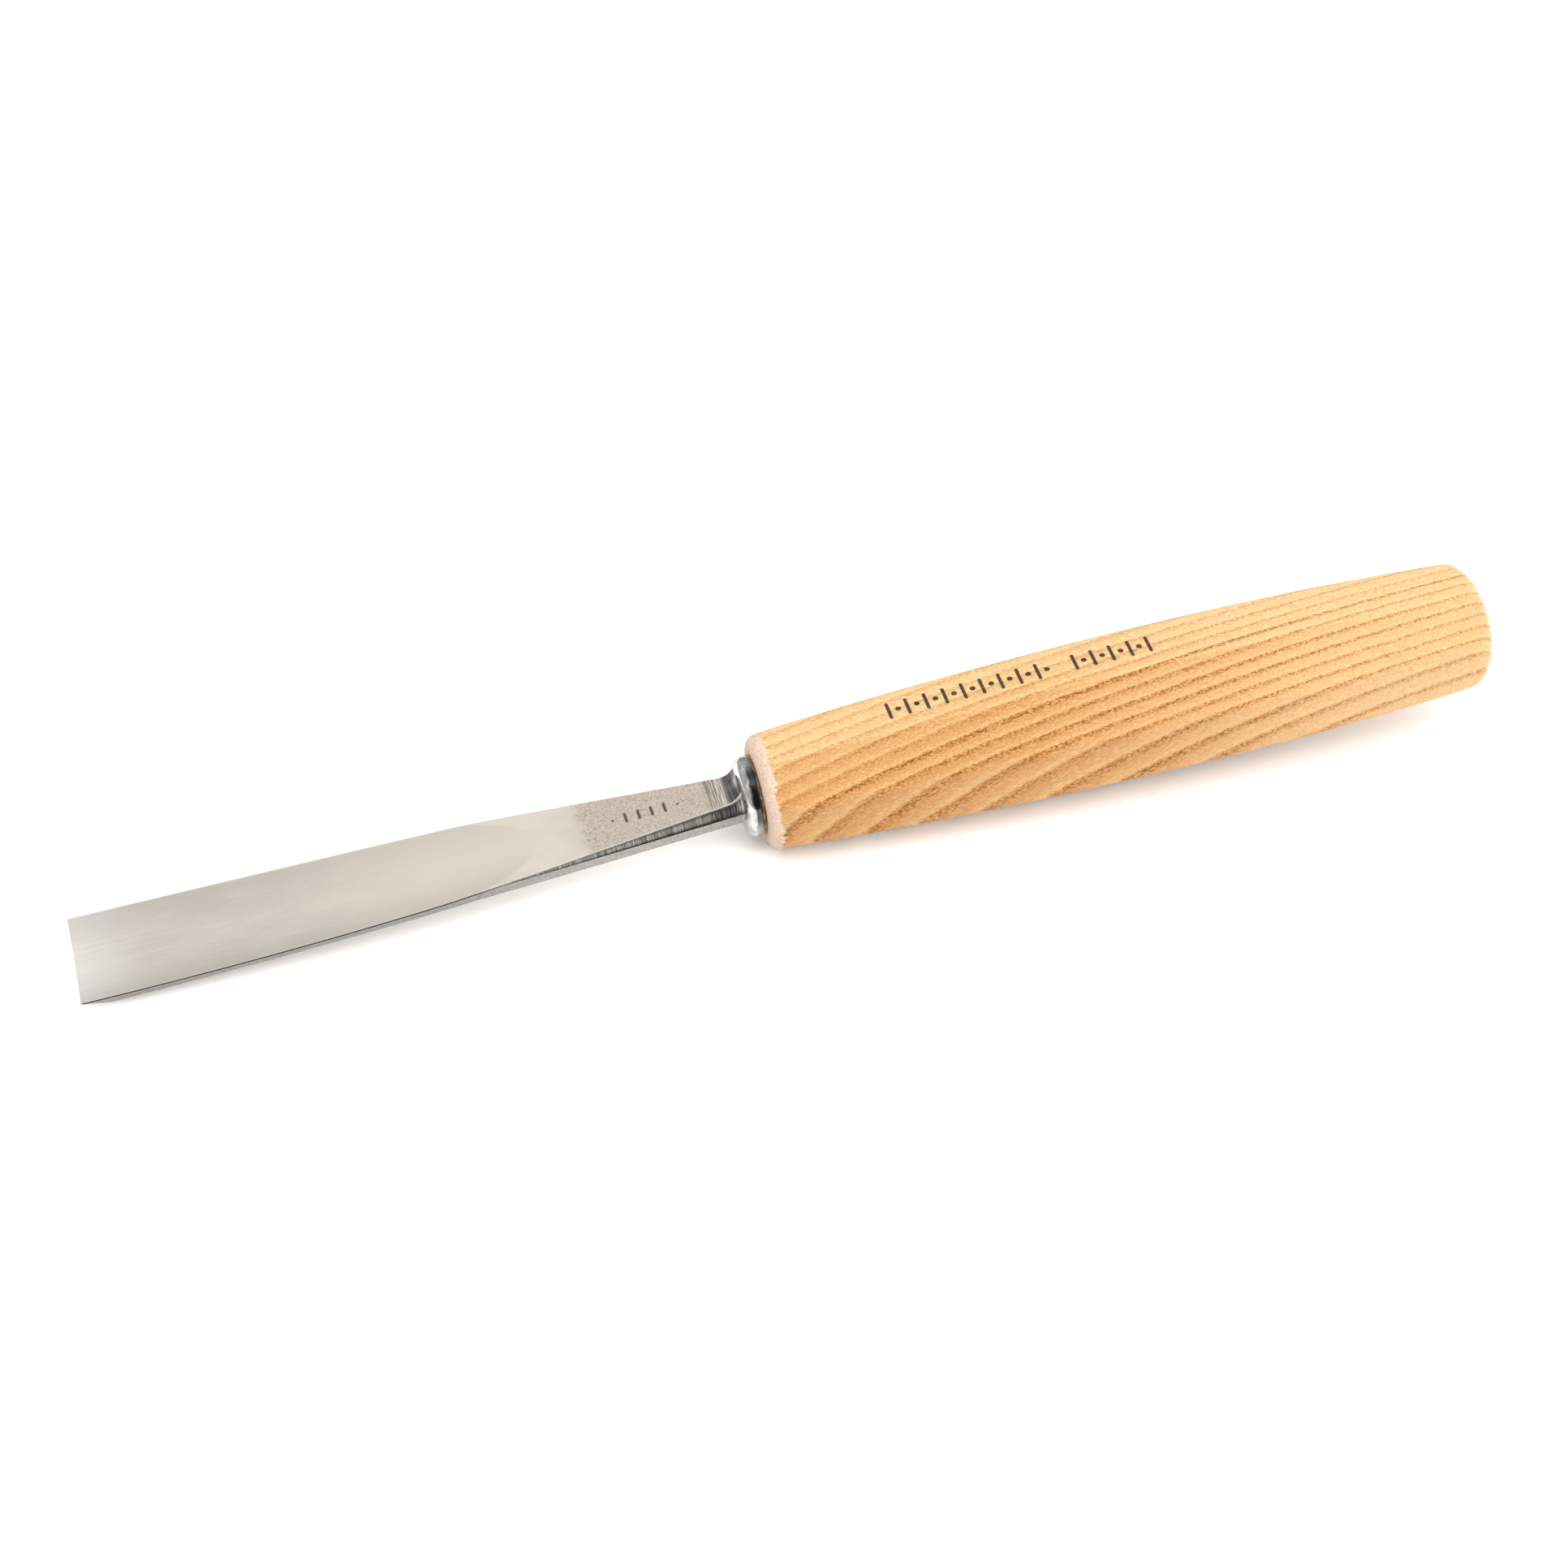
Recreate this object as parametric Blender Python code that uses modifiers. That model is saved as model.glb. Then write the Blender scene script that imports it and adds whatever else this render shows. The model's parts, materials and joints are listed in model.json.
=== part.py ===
"""A wood-carving gouge: 20 mm wide, shallow sweep, round bolster and octagonal ash handle.

The tool is drawn along +X with the handle's axis on y = z = 0. The cutting edge is at x = 0, the crown of
the butt is at x = BUTT_CROWN and the channel faces +Z. The empty "gouge" then lays it down as it lies on a
bench by itself, on the heel of its bevel and the belly of its handle. All lengths are in metres.
"""

import math

import bmesh
import bpy
from mathutils import Matrix, Vector

MM = 0.001
GAP = 0.3 * MM  # left between two pieces that touch on the real tool

# Stations along the tool
RUN_OUT_START = 58 * MM  # the channel starts to climb towards the shank's flat
RUN_OUT_END = 80 * MM  # the flat is whole behind this
BACK_BEND = 62 * MM  # the straight back of the shank meets the back of the blade
SHANK_END = 111 * MM  # inside the bolster
BOLSTER_REAR = 113.7 * MM
HANDLE_FRONT = BOLSTER_REAR + GAP
BARREL_MIDDLE = 188 * MM  # the widest place of the handle
BUTT_CROWN = 241.2 * MM

# Channel and upper flat
BLADE_WIDTH = 20 * MM
SWEEP_RADIUS = 38 * MM  # the curve of the channel across the blade
EDGE_FLOOR = -1.98 * MM  # bottom of the channel at the cutting edge
GRIND_RADIUS = 1150 * MM  # the curve of the channel along the blade
RUN_OUT_RADIUS = 243 * MM  # the tighter curve with which it leaves the steel
FLAT_HEIGHT = 2.46 * MM  # the shank's upper flat at SHANK_END
FLAT_SLOPE = 0.0348  # how fast that flat climbs towards the bolster

# Plan outline
BLADE_SIDE_RADIUS = 1400 * MM
SHANK_HALF_WIDTH = 3.12 * MM  # at SHANK_END
SHANK_TAPER = 0.1173
OUTLINE_BLEND = 0.45 * MM

# Sides: a narrow ground facet that leans outwards, a flank that leans inwards, and the crowned back
FACET_MIN = 0.16 * MM
FACET_START = 66.3 * MM
FACET_GROWTH = 0.0441
FACET_LEAN = 0.7
BLADE_FLANK_LEAN = 0.5
SHANK_FLANK_LEAN = 0.4
SHANK_FLANK_START = 75 * MM  # the flank has its steeper lean from here on
BACK_HEIGHT = -2.6 * MM
BACK_SLOPE = 0.027
BACK_RADIUS = 30 * MM

# Bevel
BEVEL_SLOPE = math.tan(math.radians(20))
EDGE_THICKNESS = 0.05 * MM

# Bolster: a cove that rises from the shank, then a rounded bead
COVE_RADIUS = 2.9 * MM
COVE_START = 108.0 * MM
COVE_FOOT = 2.2 * MM  # the radius at which the cove leaves the shank
CORE_LENGTH = 3 * MM  # how far the bolster reaches forwards inside the shank
BEAD_RADIUS = 6.75 * MM
BEAD_MIDDLE = 112.6 * MM
REAR_RIM_RADIUS = 6.1 * MM

# Tang and the ferrule round it
TANG_END = 168 * MM
BORE_SPARE = 2 * MM  # the bore is this much deeper than the tang
TANG_HALF_FRONT = 2.9 * MM
TANG_HALF_END = 1.0 * MM
FERRULE_LENGTH = 8 * MM
FERRULE_OUTER = 5.5 * MM
FERRULE_INNER = 4.6 * MM
FERRULE_CHAMFER = 0.2 * MM

# Handle
BARREL_HALF = 12.33 * MM  # half the distance across flats at the widest place
BARREL_FRONT_CURVE = 1035 * MM
BARREL_REAR_CURVE = 750 * MM
BELLY_FLAT = 4 * MM  # half the length of the straight place on which the handle rests
FACE_RADIUS = 7.8 * MM  # the flat wooden face behind the bolster
FRONT_ROUNDING = 2.4 * MM
FRONT_CONE = 0.2  # the turned front widens this fast behind its rounding
DOME_LENGTH = 23.4 * MM
DOME_RADIUS = 13.3 * MM
DOME_POWER = 3.85
CROWN_RADIUS = 3 * MM  # the small flat at the very end

# Facets and the joining of forms
SECTION_TOP_STEPS = 16
SECTION_BACK_STEPS = 12
TURNED_STEPS = 56
FERRULE_STEPS = 32
ARC_STEPS = 6
BARREL_STEP = 9 * MM
HANDLE_SIDES = 8
OVERLAP = 1 * MM  # how far a form or a cutter reaches past what it is joined to
MERGE_DISTANCE = 0.01 * MM
STEEL_SHARP_ANGLE = 25
SHARP_ANGLE = 30


def soft_min(a, b, blend):
    """The lower of two lengths, with the corner between them eased over about this much."""
    return (a + b - math.sqrt((a - b) ** 2 + blend**2)) / 2


def smooth_step(value, low, high):
    t = min(max((value - low) / (high - low), 0), 1)
    return t * t * (3 - 2 * t)


def steps_between(start, end, count):
    return [start + (end - start) * i / count for i in range(count + 1)]


# ---------------------------------------------------------------- the blade's section at one station


def half_width(x):
    blade = BLADE_WIDTH / 2 - x * x / (2 * BLADE_SIDE_RADIUS)
    shank = SHANK_HALF_WIDTH + SHANK_TAPER * (SHANK_END - x)
    return soft_min(blade, shank, OUTLINE_BLEND)


def flat_height(x):
    return FLAT_HEIGHT - FLAT_SLOPE * (SHANK_END - x)


def channel_height(x, y):
    rise = SWEEP_RADIUS - math.sqrt(SWEEP_RADIUS**2 - y * y)
    run_out = max(x - RUN_OUT_START, 0)
    return EDGE_FLOOR + rise + x * x / (2 * GRIND_RADIUS) + run_out**2 / (2 * RUN_OUT_RADIUS)


def top_height(x, y):
    """The channel, and behind the start of its run-out the flat wherever that is lower."""
    channel = channel_height(x, y)
    return channel if x < RUN_OUT_START else min(flat_height(x), channel)


def back_height(x):
    return BACK_HEIGHT - BACK_SLOPE * max(BACK_BEND - x, 0)


def bevel_height(x, y):
    return channel_height(0, y) - EDGE_THICKNESS - BEVEL_SLOPE * x


def heel_station():
    """Where the bevel meets the middle of the back."""
    drop = EDGE_FLOOR - EDGE_THICKNESS - BACK_HEIGHT + BACK_SLOPE * BACK_BEND
    return drop / (BEVEL_SLOPE + BACK_SLOPE)


def section(x):
    """The closed outline of the steel at x, as points that run over the top and back under the blade."""
    width = half_width(x)
    facet = max(FACET_MIN, FACET_GROWTH * (x - FACET_START))
    side_y = width + FACET_LEAN * facet
    side_z = top_height(x, width) - facet
    to_shank = smooth_step(x, RUN_OUT_START, SHANK_FLANK_START)
    lean = BLADE_FLANK_LEAN + (SHANK_FLANK_LEAN - BLADE_FLANK_LEAN) * to_shank
    # The flank runs down to the crowned back: two rounds settle where the two meet.
    back_y = width
    for _ in range(2):
        back_z = back_height(x) + back_y**2 / (2 * BACK_RADIUS)
        back_y = side_y - lean * (side_z - back_z)

    outline = []
    for y in steps_between(width, -width, SECTION_TOP_STEPS):
        outline.append((y, top_height(x, y)))
    under = [(-side_y, side_z)]
    for y in steps_between(-back_y, back_y, SECTION_BACK_STEPS):
        under.append((y, back_height(x) + y * y / (2 * BACK_RADIUS)))
    under.append((side_y, side_z))
    for y, z in under:
        outline.append((y, max(z, bevel_height(x, y))))
    return [Vector((x, y, z)) for y, z in outline]


def blade_stations():
    heel = heel_station()
    spans = [
        (0, heel, 5),
        (heel, RUN_OUT_START, 10),
        (RUN_OUT_START, RUN_OUT_END, 14),
        (RUN_OUT_END, SHANK_END, 6),
    ]
    stations = [0.0]
    for start, end, count in spans:
        stations += steps_between(start, end, count)[1:]
    return stations


# ---------------------------------------------------------------- the handle's outline


def barrel_half(x):
    """Half the distance across flats of the octagonal barrel."""
    curve = BARREL_FRONT_CURVE if x < BARREL_MIDDLE else BARREL_REAR_CURVE
    return BARREL_HALF - (x - BARREL_MIDDLE) ** 2 / (2 * curve)


def resting_place():
    """(station, slope) of the line from the bevel's heel that just touches the handle's belly."""
    heel = heel_station()
    reach = BARREL_MIDDLE - heel
    depth = BARREL_HALF + back_height(heel)
    back_from_middle = reach - math.sqrt(reach**2 - 2 * BARREL_FRONT_CURVE * depth)
    return BARREL_MIDDLE - back_from_middle, back_from_middle / BARREL_FRONT_CURVE


def barrel_profile():
    """(x, radius to a corner) along the barrel, which is straight for a short way where it rests."""
    contact, slope = resting_place()
    count = round((BUTT_CROWN - HANDLE_FRONT) / BARREL_STEP)
    points = []
    for x in steps_between(HANDLE_FRONT - OVERLAP, BUTT_CROWN + OVERLAP, count):
        if abs(x - contact) > 1.5 * BELLY_FLAT:
            points.append((x, barrel_half(x)))
    for side in (-BELLY_FLAT, BELLY_FLAT):
        points.append((contact + side, barrel_half(contact) + slope * side))
    points.sort()
    to_corner = 1 / math.cos(math.pi / HANDLE_SIDES)
    return [(x, half * to_corner) for x, half in points]


def envelope_profile():
    """(x, radius) of the turned shape that rounds the barrel's two ends."""
    points = [(HANDLE_FRONT, 0.0)]
    for angle in steps_between(0, math.pi / 2, ARC_STEPS):
        x = HANDLE_FRONT + FRONT_ROUNDING * (1 - math.cos(angle))
        points.append((x, FACE_RADIUS + FRONT_ROUNDING * math.sin(angle)))
    dome_start = BUTT_CROWN - DOME_LENGTH
    cone_start, cone_radius = points[-1]
    points.append((dome_start, cone_radius + FRONT_CONE * (dome_start - cone_start)))
    last_angle = math.acos((CROWN_RADIUS / DOME_RADIUS) ** (DOME_POWER / 2))
    for angle in steps_between(0, last_angle, 2 * ARC_STEPS):
        along = DOME_LENGTH * math.sin(angle) ** (2 / DOME_POWER)
        points.append((dome_start + along, DOME_RADIUS * math.cos(angle) ** (2 / DOME_POWER)))
    points[-1] = (BUTT_CROWN, CROWN_RADIUS)
    points.append((BUTT_CROWN, 0.0))
    return points


def tang_half(x):
    along = (x - BOLSTER_REAR) / (TANG_END - BOLSTER_REAR)
    return TANG_HALF_FRONT + (TANG_HALF_END - TANG_HALF_FRONT) * along


def bore_profile():
    """(x, radius) of the hole in the handle: the ferrule's seat, then a taper round the tang's corners."""
    seat_end = HANDLE_FRONT + GAP + FERRULE_LENGTH + GAP
    bore_end = TANG_END + BORE_SPARE
    mouth = HANDLE_FRONT - OVERLAP
    seat_radius = FERRULE_OUTER + GAP
    return [
        (mouth, 0.0),
        (mouth, seat_radius),
        (seat_end, seat_radius),
        (seat_end, tang_half(seat_end) * math.sqrt(2) + GAP),
        (bore_end, tang_half(bore_end) * math.sqrt(2) + GAP),
        (bore_end, 0.0),
    ]


def bolster_profile():
    """(x, radius) of the turned bolster, with a core that reaches forwards inside the shank."""
    core = COVE_START - CORE_LENGTH
    points = [(core, 0.0), (core, COVE_FOOT)]
    cove_centre = COVE_FOOT + COVE_RADIUS
    for angle in steps_between(0, math.pi / 2, ARC_STEPS):
        x = COVE_START + COVE_RADIUS * math.sin(angle)
        points.append((x, cove_centre - COVE_RADIUS * math.cos(angle)))
    cove_end = COVE_START + COVE_RADIUS
    for angle in steps_between(0, math.pi / 2, ARC_STEPS)[1:]:
        x = BEAD_MIDDLE - (BEAD_MIDDLE - cove_end) * math.cos(angle)
        points.append((x, cove_centre + (BEAD_RADIUS - cove_centre) * math.sin(angle)))
    for angle in steps_between(0, math.pi / 2, ARC_STEPS // 2)[1:]:
        x = BEAD_MIDDLE + (BOLSTER_REAR - BEAD_MIDDLE) * math.sin(angle)
        points.append((x, REAR_RIM_RADIUS + (BEAD_RADIUS - REAR_RIM_RADIUS) * math.cos(angle)))
    points.append((BOLSTER_REAR, 0.0))
    return points


# ---------------------------------------------------------------- making objects


def clear_scene():
    for obj in list(bpy.data.objects):
        bpy.data.objects.remove(obj, do_unlink=True)


def new_collection(name, is_helper=False):
    collection = bpy.data.collections.new(name)
    collection.hide_render = is_helper
    bpy.context.scene.collection.children.link(collection)
    return collection


def principled(name, color, roughness, metallic):
    material = bpy.data.materials.new(name)
    material.use_nodes = True
    shader = material.node_tree.nodes["Principled BSDF"]
    shader.inputs["Base Color"].default_value = (*color, 1)
    shader.inputs["Roughness"].default_value = roughness
    shader.inputs["Metallic"].default_value = metallic
    return material


def add_object(name, mesh, collection):
    obj = bpy.data.objects.new(name, mesh)
    collection.objects.link(obj)
    return obj


def loft(name, rings, collection):
    """A closed solid through rings of equal length, with a flat face over each end."""
    bm = bmesh.new()
    loops = [[bm.verts.new(point) for point in ring] for ring in rings]
    for ring, following in zip(loops, loops[1:]):
        for i in range(len(ring)):
            j = (i + 1) % len(ring)
            bm.faces.new((ring[i], ring[j], following[j], following[i]))
    bm.faces.new(loops[0])
    bm.faces.new(loops[-1])
    bmesh.ops.recalc_face_normals(bm, faces=bm.faces)
    mesh = bpy.data.meshes.new(name)
    bm.to_mesh(mesh)
    bm.free()
    return add_object(name, mesh, collection)


def turned(name, profile, collection, steps=TURNED_STEPS, start_angle=0.0, is_ring=False):
    """A profile of (x, radius), from the front of the tool to its back, turned about the X axis."""
    points = []
    # A Screw about X needs its profile from back to front, or the solid is inside out.
    for x, radius in reversed(profile):
        points.append((x, radius * math.sin(start_angle), radius * math.cos(start_angle)))
    edges = [(i, i + 1) for i in range(len(points) - 1)]
    if is_ring:
        edges.append((len(points) - 1, 0))
    mesh = bpy.data.meshes.new(name)
    mesh.from_pydata(points, edges, [])
    obj = add_object(name, mesh, collection)
    screw = obj.modifiers.new("turn", "SCREW")
    screw.axis = "X"
    screw.steps = steps
    screw.render_steps = steps
    screw.use_merge_vertices = True
    screw.merge_threshold = MERGE_DISTANCE
    return obj


def boolean(obj, other, operation):
    modifier = obj.modifiers.new(operation.lower(), "BOOLEAN")
    modifier.operation = operation
    modifier.object = other


def finish_surface(obj, material, sharp_angle):
    obj.data.materials.append(material)
    obj.data.shade_smooth()
    obj.data.set_sharp_from_angle(angle=math.radians(sharp_angle))


# ---------------------------------------------------------------- the pieces


def make_forging(parts, helpers, material):
    """Blade, shank, bolster and tang: one piece of steel."""
    forging = loft("gouge_forging", [section(x) for x in blade_stations()], parts)
    bolster = turned("bolster_form", bolster_profile(), helpers)

    tang_front = BOLSTER_REAR - OVERLAP
    mesh = bpy.data.meshes.new("tang_form")
    bm = bmesh.new()
    bmesh.ops.create_cone(
        bm,
        cap_ends=True,
        segments=4,
        radius1=tang_half(tang_front) * math.sqrt(2),
        radius2=TANG_HALF_END * math.sqrt(2),
        depth=TANG_END - tang_front,
    )
    bmesh.ops.rotate(bm, verts=bm.verts, matrix=Matrix.Rotation(math.pi / 4, 3, "Z"))
    bm.to_mesh(mesh)
    bm.free()
    tang = add_object("tang_form", mesh, helpers)
    tang.rotation_euler.y = math.pi / 2
    tang.location.x = (tang_front + TANG_END) / 2

    boolean(forging, bolster, "UNION")
    boolean(forging, tang, "UNION")
    finish_surface(forging, material, STEEL_SHARP_ANGLE)
    return forging


def make_handle(parts, helpers, material):
    """An octagonal barrel, with its ends turned round and a bore for the tang and its ferrule."""
    profile = barrel_profile()
    ends = [(profile[0][0], 0.0), *profile, (profile[-1][0], 0.0)]
    handle = turned(
        "ash_handle", ends, parts, steps=HANDLE_SIDES, start_angle=math.pi / HANDLE_SIDES
    )
    boolean(handle, turned("handle_envelope", envelope_profile(), helpers), "INTERSECT")
    boolean(handle, turned("tang_bore", bore_profile(), helpers), "DIFFERENCE")
    finish_surface(handle, material, SHARP_ANGLE)
    return handle


def make_ferrule(parts, material):
    """A plain ring in the mouth of the handle, which keeps the wood from splitting."""
    front = HANDLE_FRONT + GAP
    rear = front + FERRULE_LENGTH
    corners = [
        (front, FERRULE_INNER),
        (front, FERRULE_OUTER),
        (rear, FERRULE_OUTER),
        (rear, FERRULE_INNER),
    ]
    ferrule = turned("inner_ferrule", corners, parts, steps=FERRULE_STEPS, is_ring=True)
    bevel = ferrule.modifiers.new("broken_edges", "BEVEL")
    bevel.width = FERRULE_CHAMFER
    bevel.limit_method = "ANGLE"
    finish_surface(ferrule, material, SHARP_ANGLE)
    return ferrule


def lay_on_bench(pieces, helpers):
    """Parents everything to an empty that tips the tool and puts its box's bottom centre on the origin."""
    empty = bpy.data.objects.new("gouge", None)
    bpy.context.scene.collection.objects.link(empty)
    for obj in [*pieces, *helpers.objects]:
        obj.parent = empty
    _, slope = resting_place()
    empty.rotation_euler.y = -math.atan(slope)

    bpy.context.view_layer.update()
    graph = bpy.context.evaluated_depsgraph_get()
    corners = []
    for obj in pieces:
        evaluated = obj.evaluated_get(graph)
        corners += [evaluated.matrix_world @ vertex.co for vertex in evaluated.data.vertices]
    low = [min(corner[axis] for corner in corners) for axis in range(3)]
    high = [max(corner[axis] for corner in corners) for axis in range(3)]
    empty.location = (-(low[0] + high[0]) / 2, -(low[1] + high[1]) / 2, -low[2])


def main():
    clear_scene()
    parts = new_collection("carving_gouge")
    helpers = new_collection("forms_and_cutters", is_helper=True)

    tool_steel = principled("tool_steel", (0.60, 0.59, 0.57), 0.32, 1.0)
    ash = principled("ash", (0.78, 0.55, 0.30), 0.45, 0.0)
    ferrule_steel = principled("ferrule_steel", (0.55, 0.55, 0.56), 0.4, 1.0)

    pieces = [
        make_forging(parts, helpers, tool_steel),
        make_handle(parts, helpers, ash),
        make_ferrule(parts, ferrule_steel),
    ]
    for helper in helpers.objects:
        helper.hide_render = True
        helper.display_type = "WIRE"
    lay_on_bench(pieces, helpers)


main()
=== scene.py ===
"""The looks of the wood-carving gouge: satin blade, pitted shank, polished bolster and ash handle.

The pieces are drawn in the tool's own axes, in millimetres: +X from the cutting edge to the butt along
the handle's axis, Y across, and +Z out of the channel. TOOL_TO_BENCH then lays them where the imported
model lies. Colours are linear RGB.
"""

import json
import math

import bmesh
import bpy
from mathutils import Euler, Matrix, Vector


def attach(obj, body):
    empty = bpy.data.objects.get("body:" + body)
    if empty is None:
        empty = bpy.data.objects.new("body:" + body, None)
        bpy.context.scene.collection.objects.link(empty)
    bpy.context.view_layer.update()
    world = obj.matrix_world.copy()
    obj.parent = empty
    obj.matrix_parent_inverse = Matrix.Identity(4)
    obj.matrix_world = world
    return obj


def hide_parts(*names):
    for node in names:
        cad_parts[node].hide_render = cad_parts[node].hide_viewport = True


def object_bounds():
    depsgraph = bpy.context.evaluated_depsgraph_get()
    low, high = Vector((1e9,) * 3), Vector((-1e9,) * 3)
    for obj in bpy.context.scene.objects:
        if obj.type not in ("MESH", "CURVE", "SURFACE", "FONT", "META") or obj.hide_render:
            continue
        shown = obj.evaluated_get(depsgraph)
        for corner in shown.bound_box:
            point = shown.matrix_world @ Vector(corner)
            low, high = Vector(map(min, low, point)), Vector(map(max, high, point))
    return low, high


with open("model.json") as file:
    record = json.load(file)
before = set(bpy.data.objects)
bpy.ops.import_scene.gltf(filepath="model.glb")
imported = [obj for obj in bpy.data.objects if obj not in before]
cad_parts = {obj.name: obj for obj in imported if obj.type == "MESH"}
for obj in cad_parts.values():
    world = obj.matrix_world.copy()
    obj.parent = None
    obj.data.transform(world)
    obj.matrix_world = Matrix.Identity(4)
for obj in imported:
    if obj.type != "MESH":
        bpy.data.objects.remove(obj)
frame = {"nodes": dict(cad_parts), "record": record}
CAD_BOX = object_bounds()

MM = 0.001

# Stations along the tool
RUN_OUT_START = 58.0
SHANK_END = 111.0
BOLSTER_REAR = 113.95
HANDLE_FRONT = 114.0
BARREL_MIDDLE = 188.0
BUTT_CROWN = 241.2

# Steel: channel, flat and outline
BLADE_HALF = 10.0
SWEEP_RADIUS = 38.0
EDGE_FLOOR = -1.98
GRIND_RADIUS = 1150.0
RUN_OUT_RADIUS = 243.0
RUN_OUT_EASE = 0.02
FLAT_HEIGHT = 2.46
FLAT_SLOPE = 0.0348
BLADE_SIDE_RADIUS = 1400.0
SHANK_HALF_WIDTH = 3.12
SHANK_TAPER = 0.1173
OUTLINE_BLEND = 0.45

# Steel: sides, back and bevel
FACET_MIN = 0.16
FACET_START = 66.3
FACET_GROWTH = 0.0441
FACET_LEAN = 0.7
BLADE_FLANK_LEAN = 0.5
SHANK_FLANK_LEAN = 0.4
SHANK_FLANK_START = 75.0
BACK_HEIGHT = -2.6
BACK_SLOPE = 0.027
BACK_BEND = 62.0
BACK_RADIUS = 30.0
BEVEL_SLOPE = math.tan(math.radians(20))
EDGE_THICKNESS = 0.05
TOP_ARRIS = 0.16  # how far the three arrises down each side are rounded
FACET_ARRIS = 0.06
BACK_ARRIS = 0.3
ROUNDED_SHARE = 0.4  # and at most this share of a side

# Steel: bolster and tang
COVE_START = 108.0
COVE_FOOT = 2.2
COVE_RADIUS = 2.9
BEAD_RADIUS = 6.9
BEAD_MIDDLE = 112.6
REAR_RIM_RADIUS = 6.5
FILLET = 0.4  # how softly the shank runs into the bolster
POLISH_REACH = 4.0  # the polish may start this far in front of the cove
POLISH_FROM = 0.1  # it starts where the bolster stands this far proud of the shank
POLISH_FULL = 0.35
TOP_COVE_START = 108.2  # the flat turns up into the bolster from here, straight across
TOP_COVE_RADIUS = 2.9
TANG_END = 168.0
TANG_HALF_FRONT = 2.9
TANG_HALF_END = 1.0
TANG_SQUARENESS = 12  # the higher, the sharper the tang's corners

ZONES = ["top", "facet", "flank", "back", "bevel", "tang"]  # each has its own material

# Steel: how finely it is drawn, round one half of it and along it as (start, end, count)
TOP_STEPS = 48
TOP_ARRIS_STEPS = 4
FACET_STEPS = 6
FACET_ARRIS_STEPS = 3
FLANK_STEPS = 18
BACK_ARRIS_STEPS = 4
BACK_STEPS = 12
STEEL_SPANS = [
    (0, 7, 56),
    (7, RUN_OUT_START, 34),
    (RUN_OUT_START, 88, 100),
    (88, 102, 112),
    (102, COVE_START - 1, 10),
    (COVE_START - 1, BOLSTER_REAR, 64),
]
TANG_STEPS = 12
SHARP_ON_STEEL = 32  # degrees between two faces from which an edge is drawn sharp
SHARP_ON_WOOD = 35

# A plain row of marks stamped in the shank, bars with a dot at each end: (station, half length across)
STAMPS = [(89.6, 0.0), (91.8, 0.9), (94.0, 0.9), (96.2, 0.9), (98.4, 0.9), (100.6, 0.0)]
STAMP_DEPTH = 0.12
STAMP_CORE = 0.13  # a mark is whole this far from its middle line
STAMP_EDGE = 0.32  # and it has ended here

# Painted highlight and borders on the steel
HIGHLIGHT_CORE = 0.12  # the painted highlight on the top arris is whole this far round its corner
HIGHLIGHT_EDGE = 0.2
CHANNEL_BORDER = 0.03  # the border of the channel lies where it is this close to the flat's height

# Handle
BARREL_HALF = 12.33
BARREL_FRONT_CURVE = 1035.0
BARREL_REAR_CURVE = 750.0
FACE_RADIUS = 7.7
FRONT_ROUNDING = 2.6
FRONT_CONE = 0.2
DOME_LENGTH = 23.4
DOME_RADIUS = 13.3
DOME_POWER = 3.85
CROWN_RADIUS = 3.0
ARRIS_POWER = 60  # the higher, the sharper the barrel's eight arrises
BARREL_EASE = 0.35  # how softly the barrel runs into its turned ends
FERRULE_SEAT = 5.8
FERRULE_SEAT_END = 122.6
SEAT_CHAMFER = 0.15
FRONT_FACE_RADIUS = 6.8  # a ring of points on the flat front face
BORE_END = 170.0
BORE_PLAY = 0.3
BORE_TAPER = 0.3  # how much the bore has narrowed where the ferrule's seat ends
POINT_RADIUS = 0.1  # the small rings that close the bore and the crown
SIDE_STEPS = 20
ROUNDING_STEPS = 14
CONE_STEPS = 110
DOME_STEPS = 40
TOP_FLAT_EDGE = (0.38, 0.41)  # the painted side shade starts between these angles from the crown, in radians
TURNED_END = (114.8, 117.2)  # the pale turned front fades out between these stations
TURNED_FACE = 0.6  # how turned the front face counts

# Growth rings: how many lie along, across and up, each with its change per GROWTH_SPAN
GROWTH_MIDDLE = 180.0
GROWTH_SPAN = 60.0
RINGS_AT_MIDDLE = 0.26
RINGS_ALONG = (3.37, 0.54)
RINGS_ACROSS = (0.418, 0.025)
RINGS_UP = (0.196, 0.068)
RING_SHIFT = -0.17  # the noise adds a third of a ring, and a band starts before its middle

# A plain row printed on the handle's top flat
PRINT_START = 137.4
PRINT_STEP = 3.2
PRINT_GROUPS = [(136.5, 165.5), (168.5, 183.0)]
PRINT_LINE = 0.3
PRINT_HALF_HEIGHT = 1.65
PRINT_STROKE = 0.3  # half the width of a bar
PRINT_DOT = 0.5  # the radius of a dot
PRINT_BLUR = 0.08
PRINTED_ABOVE = (9.0, 9.5)  # the ink is on the upper side only, and starts between these heights


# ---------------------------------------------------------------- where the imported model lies


def tool_to_bench():
    """The tool's own axes in the row frame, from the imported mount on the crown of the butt."""
    mounts = {mount["name"]: mount for mount in frame["record"]["mounts"]}
    along = Vector(mounts["butt_crown"]["axis"]).normalized()
    across = Vector((0, 1, 0))
    out_of_channel = along.cross(across)
    crown = Vector(mounts["butt_crown"]["pos_m"])
    matrix = Matrix((along, across, out_of_channel)).transposed().to_4x4()
    matrix.translation = crown - along * BUTT_CROWN * MM
    return matrix


TOOL_TO_BENCH = tool_to_bench()


# ---------------------------------------------------------------- small helpers


def soft_min(a, b, blend):
    return (a + b - math.sqrt((a - b) ** 2 + blend**2)) / 2


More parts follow.
